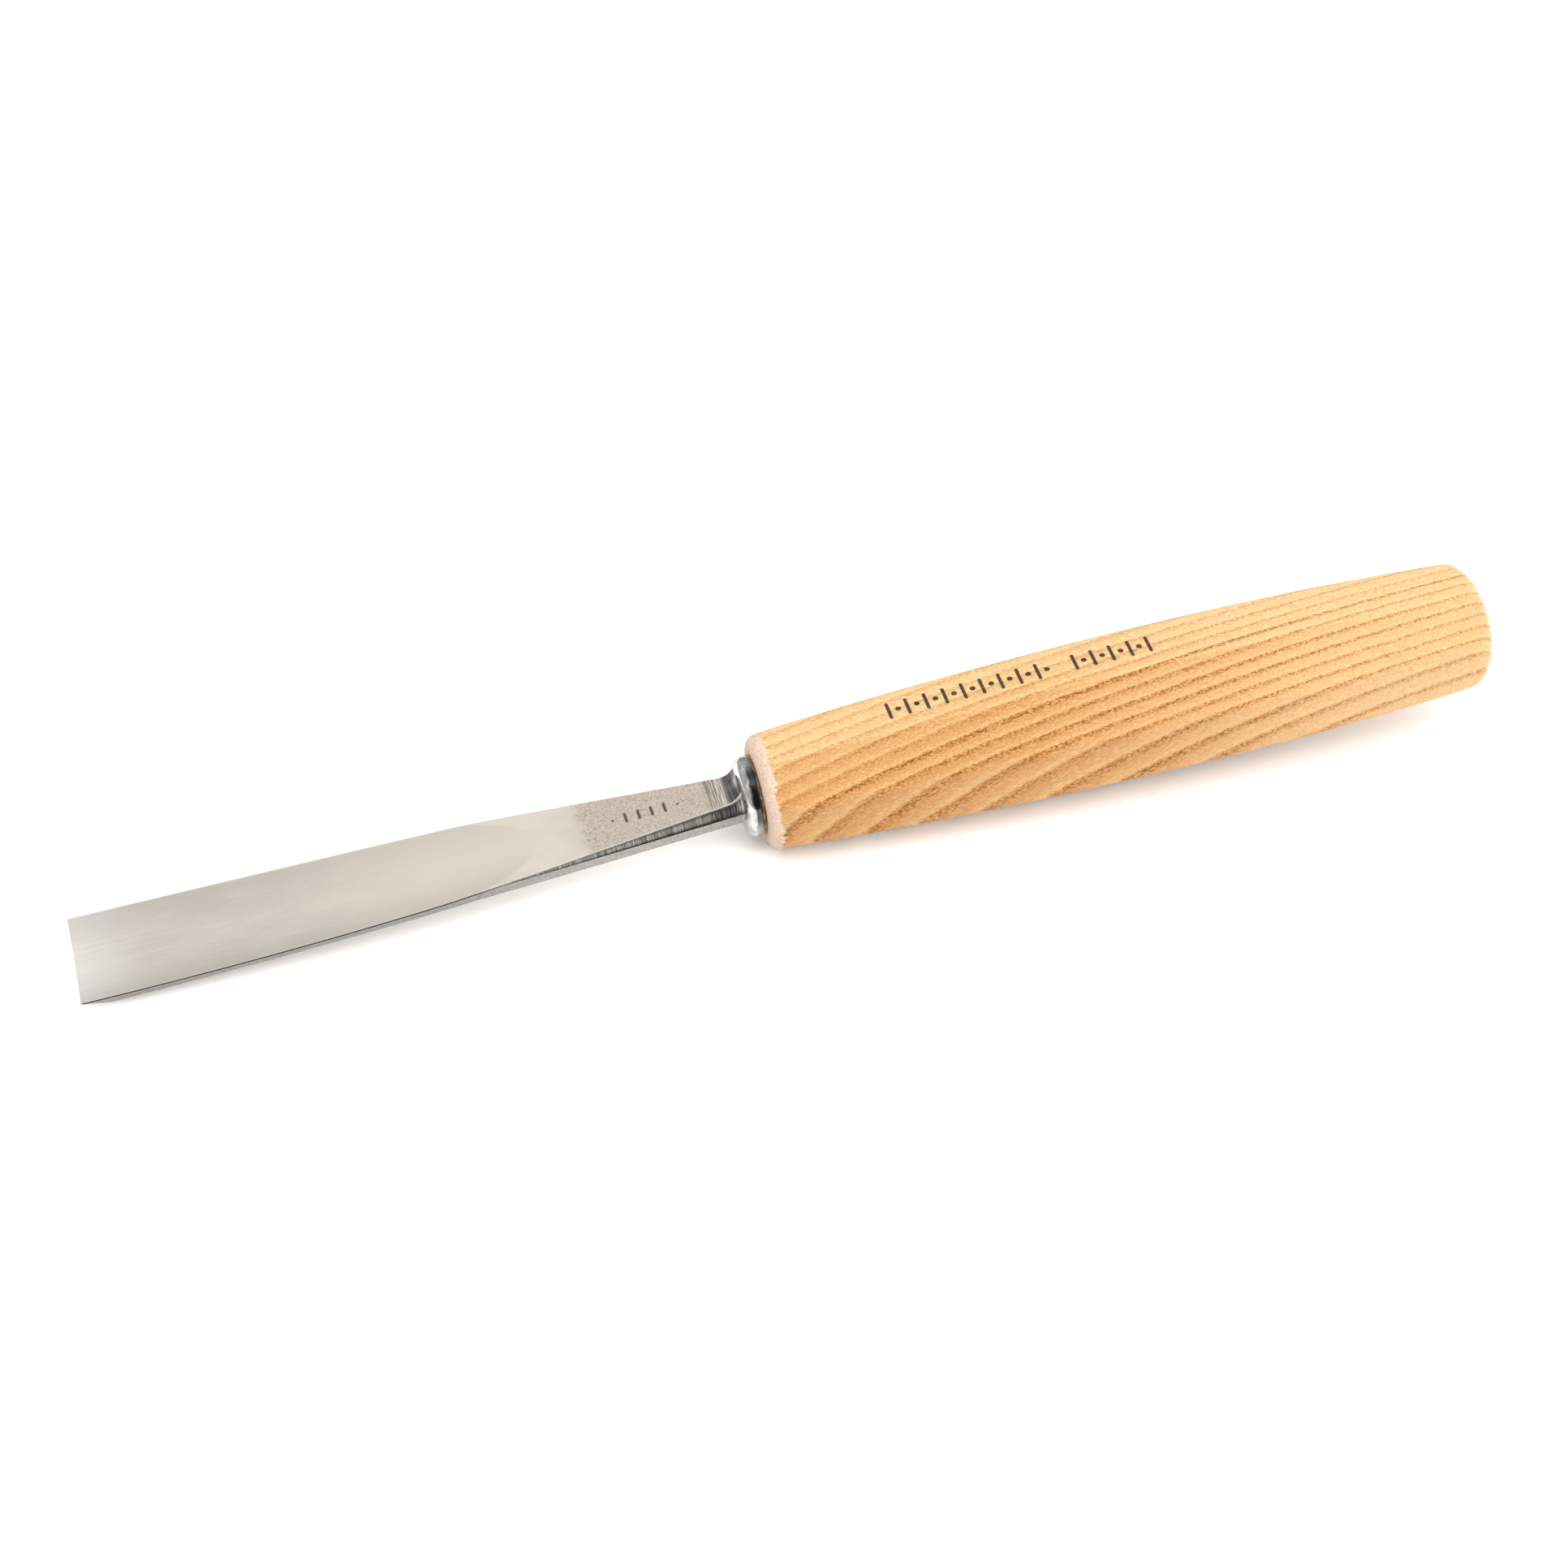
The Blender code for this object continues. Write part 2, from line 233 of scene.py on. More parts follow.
def soft_max(a, b, blend):
    return -soft_min(-a, -b, blend)


def smooth_step(value, low, high):
    t = min(max((value - low) / (high - low), 0.0), 1.0)
    return t * t * (3 - 2 * t)


def steps_between(start, end, count):
    return [start + (end - start) * i / count for i in range(count + 1)]


def stations(*spans):
    """Stations over spans of (start, end, count), each span starting where the last one ended."""
    places = [spans[0][0]]
    for start, end, count in spans:
        places += steps_between(start, end, count)[1:]
    return places


def rounded(before, corner, after, radius, count):
    """Points of a quadratic curve that rounds the corner of an outline."""
    reach_in = min(radius, ROUNDED_SHARE * (corner - before).length)
    reach_out = min(radius, ROUNDED_SHARE * (after - corner).length)
    start = corner + (before - corner).normalized() * reach_in
    end = corner + (after - corner).normalized() * reach_out
    curve = []
    for t in steps_between(0, 1, count):
        curve.append(start.lerp(corner, t).lerp(corner.lerp(end, t), t))
    return curve


# ---------------------------------------------------------------- the steel's shape


def half_width(x):
    """Half the width of the top, where blade and shank run into each other."""
    blade = BLADE_HALF - x * x / (2 * BLADE_SIDE_RADIUS)
    shank = SHANK_HALF_WIDTH + SHANK_TAPER * (SHANK_END - x)
    return soft_min(blade, shank, OUTLINE_BLEND)


def channel_height(x, y):
    """Height of the channel: curved across, slightly curved along, and more so where it runs out."""
    rise = SWEEP_RADIUS - math.sqrt(SWEEP_RADIUS**2 - y * y)
    run_out = max(x - RUN_OUT_START, 0)
    return EDGE_FLOOR + rise + x * x / (2 * GRIND_RADIUS) + run_out**2 / (2 * RUN_OUT_RADIUS)


def top_height(x, y):
    """Height of the top: the channel, or the shank's flat where that lies lower."""
    channel = channel_height(x, y)
    if x < RUN_OUT_START:
        return channel
    return soft_min(FLAT_HEIGHT - FLAT_SLOPE * (SHANK_END - x), channel, RUN_OUT_EASE)


def back_height(x, y):
    """Height of the crowned back."""
    return BACK_HEIGHT - BACK_SLOPE * max(BACK_BEND - x, 0) + y * y / (2 * BACK_RADIUS)


def bevel_height(x, y):
    """Height of the bevel, which climbs to just under the channel at the cutting edge."""
    return channel_height(0, y) - EDGE_THICKNESS - BEVEL_SLOPE * x


def stamped(x, y):
    """How deep a place lies in the row of stamped bars and dots, from 0 to 1."""
    deepest = 0.0
    for middle, half_length in STAMPS:
        beyond = max(abs(y) - half_length, 0)
        away = math.hypot(x - middle, beyond)
        deepest = max(deepest, 1 - smooth_step(away, STAMP_CORE, STAMP_EDGE))
    return deepest


def bolster_radius(x):
    """Radius of the turned bolster, as if it also ran forwards inside the shank."""
    if x < COVE_START:
        return COVE_FOOT - (COVE_START - x)
    cove_end = COVE_START + COVE_RADIUS
    rim_foot = COVE_FOOT + COVE_RADIUS
    if x < cove_end:
        return rim_foot - math.sqrt(COVE_RADIUS**2 - (x - COVE_START) ** 2)
    if x < BEAD_MIDDLE:
        share = (BEAD_MIDDLE - x) / (BEAD_MIDDLE - cove_end)
        return rim_foot + (BEAD_RADIUS - rim_foot) * math.sqrt(1 - share**2)
    share = (x - BEAD_MIDDLE) / (BOLSTER_REAR - BEAD_MIDDLE)
    return REAR_RIM_RADIUS + (BEAD_RADIUS - REAR_RIM_RADIUS) * math.sqrt(max(1 - share**2, 0))


def cove_lift(x):
    """How far the top of the shank has turned up on its way into the bolster."""
    into = max(x - TOP_COVE_START, 0)
    return TOP_COVE_RADIUS - math.sqrt(TOP_COVE_RADIUS**2 - into**2)


def side_corners(x):
    """The three corners down one side of the steel: top arris, foot of the facet, edge of the back."""
    width = half_width(x)
    facet = max(FACET_MIN, FACET_GROWTH * (x - FACET_START))
    height = top_height(x, width)
    top = Vector((width, height + cove_lift(x)))
    foot = Vector((width + FACET_LEAN * facet, height - facet))
    to_shank = smooth_step(x, RUN_OUT_START, SHANK_FLANK_START)
    lean = BLADE_FLANK_LEAN + (SHANK_FLANK_LEAN - BLADE_FLANK_LEAN) * to_shank
    back_y = width
    for _ in range(2):
        back_y = foot.x - lean * (foot.y - back_height(x, back_y))
    return top, foot, Vector((back_y, back_height(x, back_y)))


def steel_half_outline(x):
    """(point, zone) round one half of the steel, from the crown of the top to the middle of the back."""
    top, foot, back = side_corners(x)
    inner = top.x - TOP_ARRIS
    before_top = Vector((inner - 1, top_height(x, inner - 1) + cove_lift(x)))
    after_back = Vector((back.x - 1, back_height(x, back.x - 1)))
    top_curve = rounded(before_top, top, foot, TOP_ARRIS, TOP_ARRIS_STEPS)
    foot_curve = rounded(top, foot, back, FACET_ARRIS, FACET_ARRIS_STEPS)
    back_curve = rounded(foot, back, after_back, BACK_ARRIS, BACK_ARRIS_STEPS)

    outline = []
    for y in steps_between(0, top_curve[0].x, TOP_STEPS)[:-1]:
        height = top_height(x, y) + cove_lift(x) - STAMP_DEPTH * stamped(x, y)
        outline.append((Vector((y, height)), "top"))
    outline += [(point, "top") for point in top_curve[:2]]
    outline += [(point, "facet") for point in top_curve[2:]]
    for t in steps_between(0, 1, FACET_STEPS)[1:-1]:
        outline.append((top_curve[-1].lerp(foot_curve[0], t), "facet"))
    outline += [(point, "facet") for point in foot_curve[:2]]
    outline += [(point, "flank") for point in foot_curve[2:]]
    for t in steps_between(0, 1, FLANK_STEPS)[1:-1]:
        outline.append((foot_curve[-1].lerp(back_curve[0], t), "flank"))
    outline += [(point, "flank") for point in back_curve[:2]]
    outline += [(point, "back") for point in back_curve[2:]]
    for y in steps_between(back_curve[-1].x, 0, BACK_STEPS)[1:]:
        outline.append((Vector((y, back_height(x, y))), "back"))
    return outline


def steel_ring(x):
    """(y, z, zone, polish) all round the steel at x, with the bevel and the bolster worked in."""
    half = steel_half_outline(min(x, SHANK_END))
    mirrored = [(Vector((-point.x, point.y)), zone) for point, zone in reversed(half[1:-1])]
    ring = []
    for point, zone in half + mirrored:
        y, z = point
        if zone != "top" and bevel_height(x, y) > z:
            z = bevel_height(x, y)
            zone = "bevel"
        radius = math.hypot(y, z)
        pushed = soft_max(radius, bolster_radius(x), FILLET)
        polish = 0.0
        if x > COVE_START - POLISH_REACH and pushed > radius:
            polish = smooth_step(pushed - radius, POLISH_FROM, POLISH_FULL)
            y, z = y * pushed / radius, z * pushed / radius
        ring.append((y, z, zone, polish))
    return ring


def tang_ring(x, ring):
    """The ring's points drawn in to the square tang, whose corners are slightly rounded."""
    along = (x - BOLSTER_REAR) / (TANG_END - BOLSTER_REAR)
    half = TANG_HALF_FRONT + (TANG_HALF_END - TANG_HALF_FRONT) * along
    power = TANG_SQUARENESS
    points = []
    for y, z, _, _ in ring:
        size = (abs(y) ** power + abs(z) ** power) ** (1 / power)
        points.append((y * half / size, z * half / size, "tang", 0.0))
    return points


# ---------------------------------------------------------------- the handle's shape


def barrel_half(x):
    """Half the distance across the barrel's flats."""
    curve = BARREL_FRONT_CURVE if x < BARREL_MIDDLE else BARREL_REAR_CURVE
    return BARREL_HALF - (x - BARREL_MIDDLE) ** 2 / (2 * curve)


def barrel_radius(x, angle):
    """Radius of the octagonal barrel, arrises eased, at an angle from +Z."""
    total = sum(abs(math.cos(angle - math.pi / 4 * side)) ** ARRIS_POWER for side in range(4))
    return barrel_half(x) / total ** (1 / ARRIS_POWER)


def envelope():
    """(x, radius) of the turned shape, from the edge of the front face to the crown of the butt."""
    points = []
    for angle in steps_between(0, math.pi / 2, ROUNDING_STEPS):
        x = HANDLE_FRONT + FRONT_ROUNDING * (1 - math.cos(angle))
        points.append((x, FACE_RADIUS + FRONT_ROUNDING * math.sin(angle)))
    cone_start, cone_radius = points[-1]
    dome_start = BUTT_CROWN - DOME_LENGTH
    for x in steps_between(cone_start, dome_start, CONE_STEPS)[1:]:
        points.append((x, cone_radius + FRONT_CONE * (x - cone_start)))
    last_angle = math.acos((CROWN_RADIUS / DOME_RADIUS) ** (DOME_POWER / 2))
    for angle in steps_between(0, last_angle, DOME_STEPS)[1:]:
        along = DOME_LENGTH * math.sin(angle) ** (2 / DOME_POWER)
        points.append((dome_start + along, DOME_RADIUS * math.cos(angle) ** (2 / DOME_POWER)))
    return points


def handle_angles():
    """Angles round the handle, closer together near the eight arrises."""
    angles = []
    for side in range(8):
        for step in range(SIDE_STEPS):
            within = math.sin(math.pi / 2 * (2 * step / SIDE_STEPS - 1))
            angles.append(math.pi / 4 * side + math.pi / 8 * within)
    return angles


def growth_ring(x, y, z):
    """How many growth rings lie between a fixed one and this place. They turn slowly along the wood."""
    t = (x - GROWTH_MIDDLE) / GROWTH_SPAN
    along = (RINGS_ALONG[0] - RINGS_ALONG[1] * t) * t
    across = (RINGS_ACROSS[0] + RINGS_ACROSS[1] * t) * y
    up = (RINGS_UP[0] + RINGS_UP[1] * t) * z
    return RINGS_AT_MIDDLE + along - across - up


# ---------------------------------------------------------------- making meshes


def skin(rings, close_first=True):
    """A bmesh through rings of equal length, each a list of (x, y, z) in millimetres."""
    bm = bmesh.new()
    loops = [[bm.verts.new(Vector(point) * MM) for point in ring] for ring in rings]
    for ring, following in zip(loops, loops[1:]):
        for i in range(len(ring)):
            j = (i + 1) % len(ring)
            bm.faces.new((ring[i], ring[j], following[j], following[i]))
    if close_first:
        bm.faces.new(loops[0])
    bm.faces.new(loops[-1])
    return bm


def close_cutting_edge(bm, ring_length):
    """Closes the first ring with a strip of triangles. One face would fill the channel's mouth."""
    bm.verts.ensure_lookup_table()
    ring = bm.verts[:ring_length]
    corner = TOP_STEPS + 1
    upper = [ring[i] for i in range(corner, -corner - 1, -1)]
    lower = ring[corner + 1 : ring_length - corner]
    while len(upper) > 1 or len(lower) > 1:
        if len(lower) == 1 or (len(upper) > 1 and upper[1].co.y > lower[1].co.y):
            bm.faces.new((upper[0], upper[1], lower[0]))
            upper.pop(0)
        else:
            bm.faces.new((upper[0], lower[1], lower[0]))
            lower.pop(0)


def add_piece(name, bm, sharp_angle):
    """A piece on the body "root", drawn smooth except where faces meet at more than sharp_angle."""
    bmesh.ops.recalc_face_normals(bm, faces=bm.faces)
    bmesh.ops.transform(bm, matrix=TOOL_TO_BENCH, verts=bm.verts)
    mesh = bpy.data.meshes.new(name)
    bm.to_mesh(mesh)
    bm.free()
    mesh.shade_smooth()
    mesh.set_sharp_from_angle(angle=math.radians(sharp_angle))
    piece = bpy.data.objects.new(name, mesh)
    bpy.context.scene.collection.objects.link(piece)
    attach(piece, "root")
    return piece


def arris_highlight(x, y, z):
    """1 on the arris between the top and the facet, where the steel gets a painted highlight."""
    top = side_corners(min(x, SHANK_END))[0]
    away = math.hypot(abs(y) - top.x, z - top.y)
    return 1 - smooth_step(away, HIGHLIGHT_CORE, HIGHLIGHT_EDGE)


def in_channel(x, y):
    """1 inside the channel and 0 on the flat that it runs out into, with a narrow border between."""
    if x < RUN_OUT_START:
        return 1.0
    flat = FLAT_HEIGHT - FLAT_SLOPE * (SHANK_END - x)
    above = channel_height(x, min(abs(y), BLADE_HALF)) - flat
    return 1 - smooth_step(above, -CHANNEL_BORDER, CHANNEL_BORDER)


def across_facet(x, z):
    """0 at the arris above the facet and 1 at its foot."""
    top, foot, _ = side_corners(min(x, SHANK_END))
    return min(max((top.y - z) / (top.y - foot.y), 0.0), 1.0)


def set_attribute(mesh, name, values):
    """Gives each point a number that the materials read."""
    attribute = mesh.attributes.new(name, "FLOAT", "POINT")
    attribute.data.foreach_set("value", values)


# ---------------------------------------------------------------- materials


class Nodes:
    """A short way to write a material's nodes. Inputs may be numbers, tuples or other nodes' outputs."""

    def __init__(self, name):
        self.material = bpy.data.materials.new(name)
        self.material.use_nodes = True
        self.tree = self.material.node_tree
        self.shader = self.tree.nodes["Principled BSDF"]

    def set(self, socket, value):
        if isinstance(value, bpy.types.NodeSocket):
            self.tree.links.new(value, socket)
        else:
            socket.default_value = value

    def add(self, kind, inputs, **settings):
        node = self.tree.nodes.new("ShaderNode" + kind)
        for key, value in settings.items():
            setattr(node, key, value)
        for key, value in inputs.items():
            self.set(node.inputs[key], value)
        return node

    def math(self, operation, *values, clamp=False):
        inputs = dict(enumerate(values))
        return self.add("Math", inputs, operation=operation, use_clamp=clamp).outputs[0]

    def times(self, *values):
        product = values[0]
        for value in values[1:]:
            product = self.math("MULTIPLY", product, value)
        return product

    def scaled(self, value, factor, start=0.0):
        """start + factor * value"""
        return self.math("MULTIPLY_ADD", value, factor, start)

    def attribute(self, name):
        return self.add("Attribute", {}, attribute_name=name).outputs["Fac"]

    def place(self, scale=(1, 1, 1), rotation=(0, 0, 0)):
        """The place in the tool's own axes in millimetres, turned and then stretched."""
        lying = {
            "Vector": self.add("TexCoord", {}).outputs["Object"],
            "Location": TOOL_TO_BENCH.to_translation(),
            "Rotation": TOOL_TO_BENCH.to_euler(),
        }
        place = self.add("Mapping", lying, vector_type="TEXTURE").outputs[0]
        turned = self.add("VectorRotate", {"Vector": place}, rotation_type="EULER_XYZ")
        turned.inputs["Rotation"].default_value = rotation
        stretch = {0: turned.outputs[0], 1: [value / MM for value in scale]}
        return self.add("VectorMath", stretch, operation="MULTIPLY").outputs[0]

    def axes(self):
        return self.add("SeparateXYZ", {"Vector": self.place()}).outputs

    def noise(self, scale, detail=2.0, roughness=0.5, rotation=(0, 0, 0)):
        """Noise from 0 to 1, with scale grains to the millimetre along each axis."""
        inputs = {"Vector": self.place(scale, rotation), "Scale": 1.0, "Detail": detail}
        inputs["Roughness"] = roughness
        return self.add("TexNoise", inputs).outputs[0]

    def remap(self, value, low, high, to_low=0.0, to_high=1.0):
        """A smooth change from to_low, where the value is low, to to_high, where it is high."""
        inputs = {0: value, 1: low, 2: high, 3: to_low, 4: to_high}
        return self.add("MapRange", inputs, interpolation_type="SMOOTHSTEP").outputs[0]

    def mix(self, share, a, b):
        """A colour between a and b."""
        node = self.add("Mix", {}, data_type="RGBA")
        self.set(node.inputs[0], share)
        self.set(node.inputs[6], (*a, 1) if isinstance(a, tuple) else a)
        self.set(node.inputs[7], (*b, 1) if isinstance(b, tuple) else b)
        return node.outputs[2]

    def tint(self, share, color, factor):
        """The colour, multiplied by the factor as far as the share says."""
        node = self.add("Mix", {}, data_type="RGBA", blend_type="MULTIPLY")
        self.set(node.inputs[0], share)
        self.set(node.inputs[6], color)
        self.set(node.inputs[7], (*factor, 1))
        return node.outputs[2]

    def blend(self, share, a, b):
        """A number between a and b."""
        node = self.add("Mix", {}, data_type="FLOAT")
        self.set(node.inputs[0], share)
        self.set(node.inputs[2], a)
        self.set(node.inputs[3], b)
        return node.outputs[0]

    def finish(self, color, roughness, height, depth, **uniform):
        """Wires the shader. height times depth is the relief in millimetres."""
        bump = self.add("Bump", {"Height": height, "Strength": 1.0, "Distance": depth * MM})
        self.set(self.shader.inputs["Base Color"], color)
        self.set(self.shader.inputs["Roughness"], roughness)
        self.set(self.shader.inputs["Normal"], bump.outputs[0])
        for key, value in uniform.items():
            self.shader.inputs[key.replace("_", " ")].default_value = value
        return self.material


# The colour of a painted highlight along the top arris
PAINTED_ARRIS_HIGHLIGHT = (1.0, 0.97, 0.92)
STEEL_RELIEF = 0.01  # millimetres of relief for a height of 1


def finish_steel(n, color, rough, height):
    """The zone's own look, turning into the polished and lightly dented bolster where "polish" says."""
    mirror = (0.58, 0.58, 0.56)
    stained = (0.37, 0.37, 0.355)
    painted_rim_reflection = (0.05, 0.054, 0.05)
    polish = n.attribute("polish")
    x, y, z = n.axes()
    dents = n.noise((0.9, 0.7, 0.7), 3.0, 0.55)
    stains = n.remap(n.noise((0.9, 0.55, 0.55), 3.0, 0.6), 0.38, 0.62)
    shine = n.mix(stains, mirror, stained)

    # Painted dark reflection: a band round the rear rim, uneven like the dents, weaker low down and on
    # the far side
    edge = n.scaled(dents, 1.2, n.math("SUBTRACT", x, 0.6))
    rim_reflection = n.times(n.remap(edge, 112.1, 112.5), n.remap(edge, 113.4, 113.7, 1.0, 0.0))
    rim_reflection = n.times(rim_reflection, n.remap(n.scaled(dents, 3.0, y), -0.5, 2.5, 0.97, 0.35))
    rim_reflection = n.times(rim_reflection, n.remap(z, -2.0, 1.0, 0.5, 1.0))
    color = n.mix(polish, color, n.mix(rim_reflection, shine, painted_rim_reflection))
    rough = n.blend(polish, rough, n.scaled(stains, 0.05, 0.1))
    height = n.blend(polish, height, n.scaled(dents, 4.0))
    return n.finish(color, rough, height, STEEL_RELIEF, Metallic=1.0)


def satin_top():
    """The channel and the shank's flat: honed at the tip, satin, smooth, forge-pitted, then ground."""
    satin = ((0.66, 0.62, 0.565), (0.57, 0.53, 0.48))
    honed = ((0.82, 0.81, 0.785), (0.74, 0.73, 0.70))
    warm = (0.715, 0.66, 0.585)
    plain = ((0.73, 0.675, 0.60), (0.66, 0.61, 0.54))
    scale = ((0.475, 0.412, 0.35), (0.685, 0.60, 0.515))
    in_pit = (0.28, 0.25, 0.225)
    in_stroke = (0.16, 0.145, 0.13)
    painted_cove_reflection = ((0.16, 0.155, 0.145), (0.07, 0.068, 0.064))
    in_stamp = (0.10, 0.095, 0.09)
    n = Nodes("satin_channel")
    x = n.axes()[0]
    wander = n.noise((0.25, 0.25, 0.25))
    bent = n.scaled(wander, 3.0, n.math("SUBTRACT", x, 1.5))
    tip = n.remap(bent, -6.0, 14.0, 1.0, 0.0)
    smooth = n.math("SUBTRACT", 1.0, n.attribute("channel"))
    forged = n.times(n.remap(bent, 83.0, 85.6), n.remap(x, 106.5, 108.0, 1.0, 0.0))
    ground = n.times(n.remap(x, 104.8, 106.4), n.remap(x, 108.2, 109.4, 1.0, 0.0))
    cove = n.remap(x, 108.0, 109.2)

    brushed = n.remap(n.noise((0.05, 6.0, 6.0), 3.0, 0.6), 0.3, 0.7)
    clouds = n.remap(n.noise((0.1, 0.22, 0.22), 2.0), 0.3, 0.7)
    grain = n.noise((3.4, 3.4, 3.4), 3.0, 0.7)
    pit = n.remap(grain, 0.28, 0.42, 1.0, 0.0)
    strokes = n.remap(n.noise((5.0, 0.15, 0.15), 2.0, 0.6), 0.4, 0.62)

    color = n.mix(n.scaled(brushed, 0.5, n.scaled(clouds, 0.5)), *satin)
    color = n.mix(tip, color, n.mix(brushed, *honed))
    color = n.mix(n.remap(x, 25.0, 62.0, 0.0, 0.8), color, warm)
    color = n.mix(smooth, color, n.mix(clouds, *plain))
    speckled = n.mix(n.remap(grain, 0.32, 0.66), *scale)
    color = n.mix(forged, color, n.mix(n.times(pit, 0.5), speckled, in_pit))
    color = n.mix(n.times(ground, strokes, 0.95), color, in_stroke)
    # Painted dark reflection where the flat turns up into the bolster
    color = n.mix(cove, color, n.mix(strokes, *painted_cove_reflection))
    color = n.mix(n.attribute("stamped"), color, in_stamp)
    # Painted highlight along the top arris, weaker along the shank
    highlighted = n.times(n.attribute("arris"), n.remap(x, 55.0, 75.0, 1.0, 0.5))
    color = n.mix(highlighted, color, PAINTED_ARRIS_HIGHLIGHT)

    rough = n.blend(tip, n.scaled(brushed, 0.08, 0.32), n.scaled(brushed, 0.08, 0.24))
    rough = n.blend(forged, rough, n.scaled(pit, 0.2, 0.4))
    height = n.blend(forged, n.scaled(brushed, 0.3), n.scaled(pit, -2.5, grain))
    height = n.math("SUBTRACT", height, n.times(ground, strokes, 1.5))
    return finish_steel(n, color, rough, height)


def ground_facet():
    """The narrow chamfer down each side, with the coarse strokes of the wheel straight across it."""
    border = (0.04, 0.036, 0.032)
    ground = (0.40, 0.37, 0.33)
    in_shade = (0.012, 0.01, 0.009)
    painted_cove_shade = (0.08, 0.075, 0.07)
    stroke = (0.95, 0.92, 0.86)
    n = Nodes("ground_facet")
    strokes = n.noise((5.0, 0.2, 0.2), 3.0, 0.7)
    middle = n.remap(n.math("PINGPONG", n.attribute("across"), 0.5), 0.05, 0.4)
    x = n.axes()[0]
    on_shank = n.remap(x, 62.0, 80.0)
    near_cove = n.remap(x, 104.0, 108.0)
    bright = n.times(n.remap(strokes, 0.4, 0.62), middle, on_shank, n.scaled(near_cove, -0.6, 1.0))
    # Painted shade along both borders of the facet
    color = n.mix(middle, border, ground)
    color = n.mix(on_shank, in_shade, color)
    # Painted shade where the facet runs up to the bolster
    color = n.mix(near_cove, color, painted_cove_shade)
    color = n.mix(bright, color, stroke)
    # Painted highlight along the top arris, faint on the blade
    highlighted = n.times(n.attribute("arris"), n.scaled(on_shank, 0.7, 0.1))
    color = n.mix(highlighted, color, PAINTED_ARRIS_HIGHLIGHT)
    height = n.times(strokes, on_shank, 16.0)
    return finish_steel(n, color, n.scaled(bright, 0.15, 0.3), height)


LINES_ALONG = (0.06, 6.0, 6.0)  # grains to the millimetre along X, Y and Z
LINES_ACROSS = (6.0, 0.3, 0.3)
TURNED_LINES = (8.0, 0.3, 0.3)
PIT_SHADE = 0.3


def forged_steel(name, light, dark, pits, lines):
    """Steel as forged and cleaned, with pits, and faint grinding lines along one direction."""
    n = Nodes(name)
    marks = n.remap(n.noise(lines, 3.0, 0.6), 0.3, 0.7)
    grain = n.noise((2.6, 2.6, 2.6), 4.0, 0.7)
    clusters = n.remap(n.noise((0.12, 0.3, 0.3), 2.0), 0.35, 0.55)
    pit = n.times(n.remap(grain, 0.34, 0.4, 1.0, 0.0), clusters, pits)
    # Painted shade: the tone darkens towards the cutting edge, where the flank mirrors the floor in the
    # blade's shadow
    on_shank = n.remap(n.axes()[0], 58.0, 82.0, 0.6, 1.0)
    tone = n.scaled(marks, 0.4, n.scaled(n.remap(grain, 0.3, 0.7), 0.6))
    color = n.mix(n.times(tone, on_shank), dark, light)
    color = n.mix(pit, color, tuple(part * PIT_SHADE for part in dark))
    rough = n.scaled(pit, 0.2, n.scaled(marks, 0.08, 0.32))
    return finish_steel(n, color, rough, n.scaled(pit, -2.5, marks))


WOOD_RELIEF = 0.03  # millimetres of relief for a height of 1


